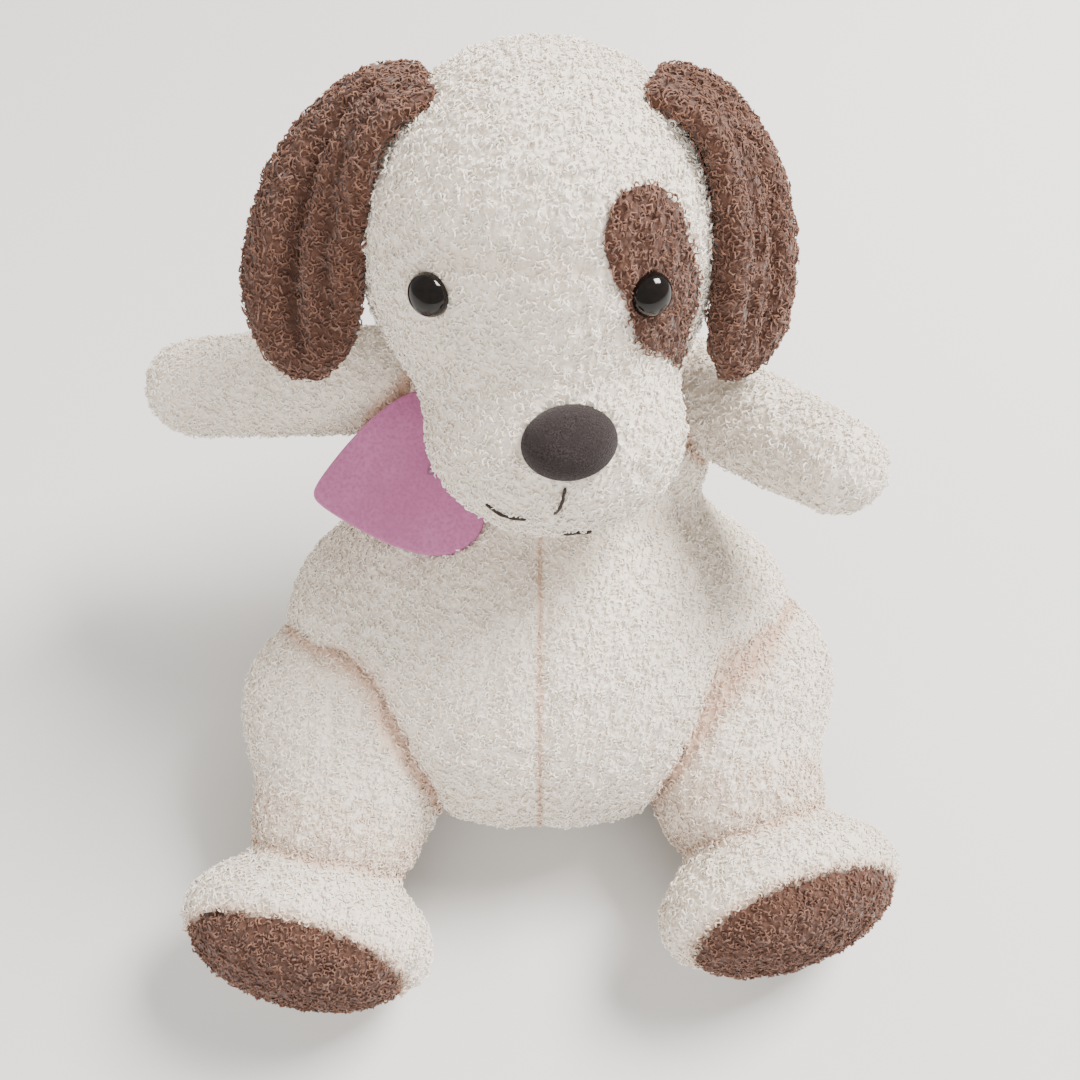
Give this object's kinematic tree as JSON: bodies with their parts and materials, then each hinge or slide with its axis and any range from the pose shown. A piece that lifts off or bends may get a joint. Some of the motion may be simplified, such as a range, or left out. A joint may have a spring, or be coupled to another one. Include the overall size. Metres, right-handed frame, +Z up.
{
  "type": "plush toy dog",
  "caption": "Seated plush puppy with a round head, floppy ears, one dark eye patch, stub arms, splayed legs, dark soles and a heart tag on a ring.",
  "frame": {"origin": "middle of the flat seat panel's underside, on the surface the toy sits on", "axes": "+Z up; the puppy faces -Y; its own left side is +X"},
  "size_m": [0.1697, 0.1619, 0.1515],
  "materials": {
    "cream_pile": "looped pile, matte",
    "brown_pile": "looped pile, matte",
    "seam_thread": "matte",
    "mouth_thread": "matte",
    "filling": "matte",
    "pellets": "matte",
    "eye_black": "gloss",
    "washer": "matte",
    "nose_flock": "flocked, matte",
    "tag_pink": "grained, satin",
    "ring_steel": "satin"
  },
  "bodies": {
    "torso": {"belly_panel_left": "cream_pile", "belly_panel_right": "cream_pile", "back_panel": "cream_pile", "belly_seam": "seam_thread", "seat_panel": "cream_pile", "torso_stuffing": "filling", "pellet_bag": "pellets", "tag_loop": "seam_thread"},
    "neck": {"neck_stuffing": "filling"},
    "head": {"head_gusset": "cream_pile", "head_side_left": "cream_pile", "head_side_right": "cream_pile", "head_stuffing": "filling", "eye_patch": "brown_pile", "eye_left": "eye_black", "eye_right": "eye_black", "eye_washer_left": "washer", "eye_washer_right": "washer", "nose": "nose_flock", "nose_washer": "washer", "mouth_stitch": "mouth_thread"},
    "ear_left": {"ear_outer_left": "brown_pile", "ear_lining_left": "brown_pile"},
    "ear_right": {"ear_outer_right": "brown_pile", "ear_lining_right": "brown_pile"},
    "arm_left": {"arm_cover_left": "cream_pile", "arm_stuffing_left": "cream_pile"},
    "arm_right": {"arm_cover_right": "cream_pile", "arm_stuffing_right": "cream_pile"},
    "leg_left": {"leg_cover_left": "cream_pile", "leg_stuffing_left": "cream_pile"},
    "leg_right": {"leg_cover_right": "cream_pile", "leg_stuffing_right": "cream_pile"},
    "foot_left": {"foot_cover_left": "cream_pile", "foot_sole_left": "brown_pile", "foot_stuffing_left": "cream_pile"},
    "foot_right": {"foot_cover_right": "cream_pile", "foot_sole_right": "brown_pile", "foot_stuffing_right": "cream_pile"},
    "tail": {"tail_cover": "brown_pile", "tail_stuffing": "filling"},
    "tag": {"heart_tag": "tag_pink", "tag_ring": "ring_steel"}
  },
  "joints": [
    {"name": "neck_turn", "type": "hinge", "parent": "torso", "child": "neck", "pos_m": [0, 0.044, 0.088], "axis": [0, 0, 1], "range_deg": [-10, 12], "stiffness_Nm_per_rad": 0.5},
    {"name": "head_nod", "type": "hinge", "parent": "neck", "child": "head", "pos_m": [0, 0.044, 0.088], "axis": [-1, 0, 0], "range_deg": [0, 18], "stiffness_Nm_per_rad": 0.5},
    {"name": "ear_flap_left", "type": "hinge", "parent": "head", "child": "ear_left", "pos_m": [0.02, 0.0555, 0.14241], "axis": [0, -0.9243, 0.3818], "range_deg": [0, 60]},
    {"name": "ear_flap_right", "type": "hinge", "parent": "head", "child": "ear_right", "pos_m": [-0.02, 0.0555, 0.14241], "axis": [0, 0.9243, -0.3818], "range_deg": [0, 60]},
    {"name": "shoulder_left", "type": "hinge", "parent": "torso", "child": "arm_left", "pos_m": [0.033, 0.04, 0.075], "axis": [-0.7771, -0.6293, 0], "range_deg": [-40, 3], "stiffness_Nm_per_rad": 0.1},
    {"name": "shoulder_right", "type": "hinge", "parent": "torso", "child": "arm_right", "pos_m": [-0.033, 0.043, 0.075], "axis": [0, 1, 0], "range_deg": [-30, 15], "stiffness_Nm_per_rad": 0.1},
    {"name": "hip_left", "type": "hinge", "parent": "torso", "child": "leg_left", "pos_m": [0.04, -0.0125, 0.0266], "axis": [-0.9744, -0.225, 0], "range_deg": [-18, 20], "stiffness_Nm_per_rad": 0.6},
    {"name": "hip_right", "type": "hinge", "parent": "torso", "child": "leg_right", "pos_m": [-0.04, -0.0195, 0.0266], "axis": [-0.9744, 0.225, 0], "range_deg": [-18, 20], "stiffness_Nm_per_rad": 0.6},
    {"name": "ankle_left", "type": "hinge", "parent": "leg_left", "child": "foot_left", "pos_m": [0.04537, -0.03575, 0.024], "axis": [-0.9511, -0.309, 0], "range_deg": [-12, 12], "stiffness_Nm_per_rad": 0.3},
    {"name": "ankle_right", "type": "hinge", "parent": "leg_right", "child": "foot_right", "pos_m": [-0.04537, -0.04275, 0.024], "axis": [-0.9781, 0.2079, 0], "range_deg": [-12, 12], "stiffness_Nm_per_rad": 0.3},
    {"name": "tail_wag", "type": "hinge", "parent": "torso", "child": "tail", "pos_m": [0, 0.039, 0.022], "axis": [0, 0, 1], "range_deg": [-30, 30], "stiffness_Nm_per_rad": 0.03},
    {"name": "tag_swing", "type": "hinge", "parent": "torso", "child": "tag", "pos_m": [-0.0154, 0.0175, 0.0772], "axis": [-0.1777, 0.8769, 0.4465], "range_deg": [0, 12]}
  ]
}
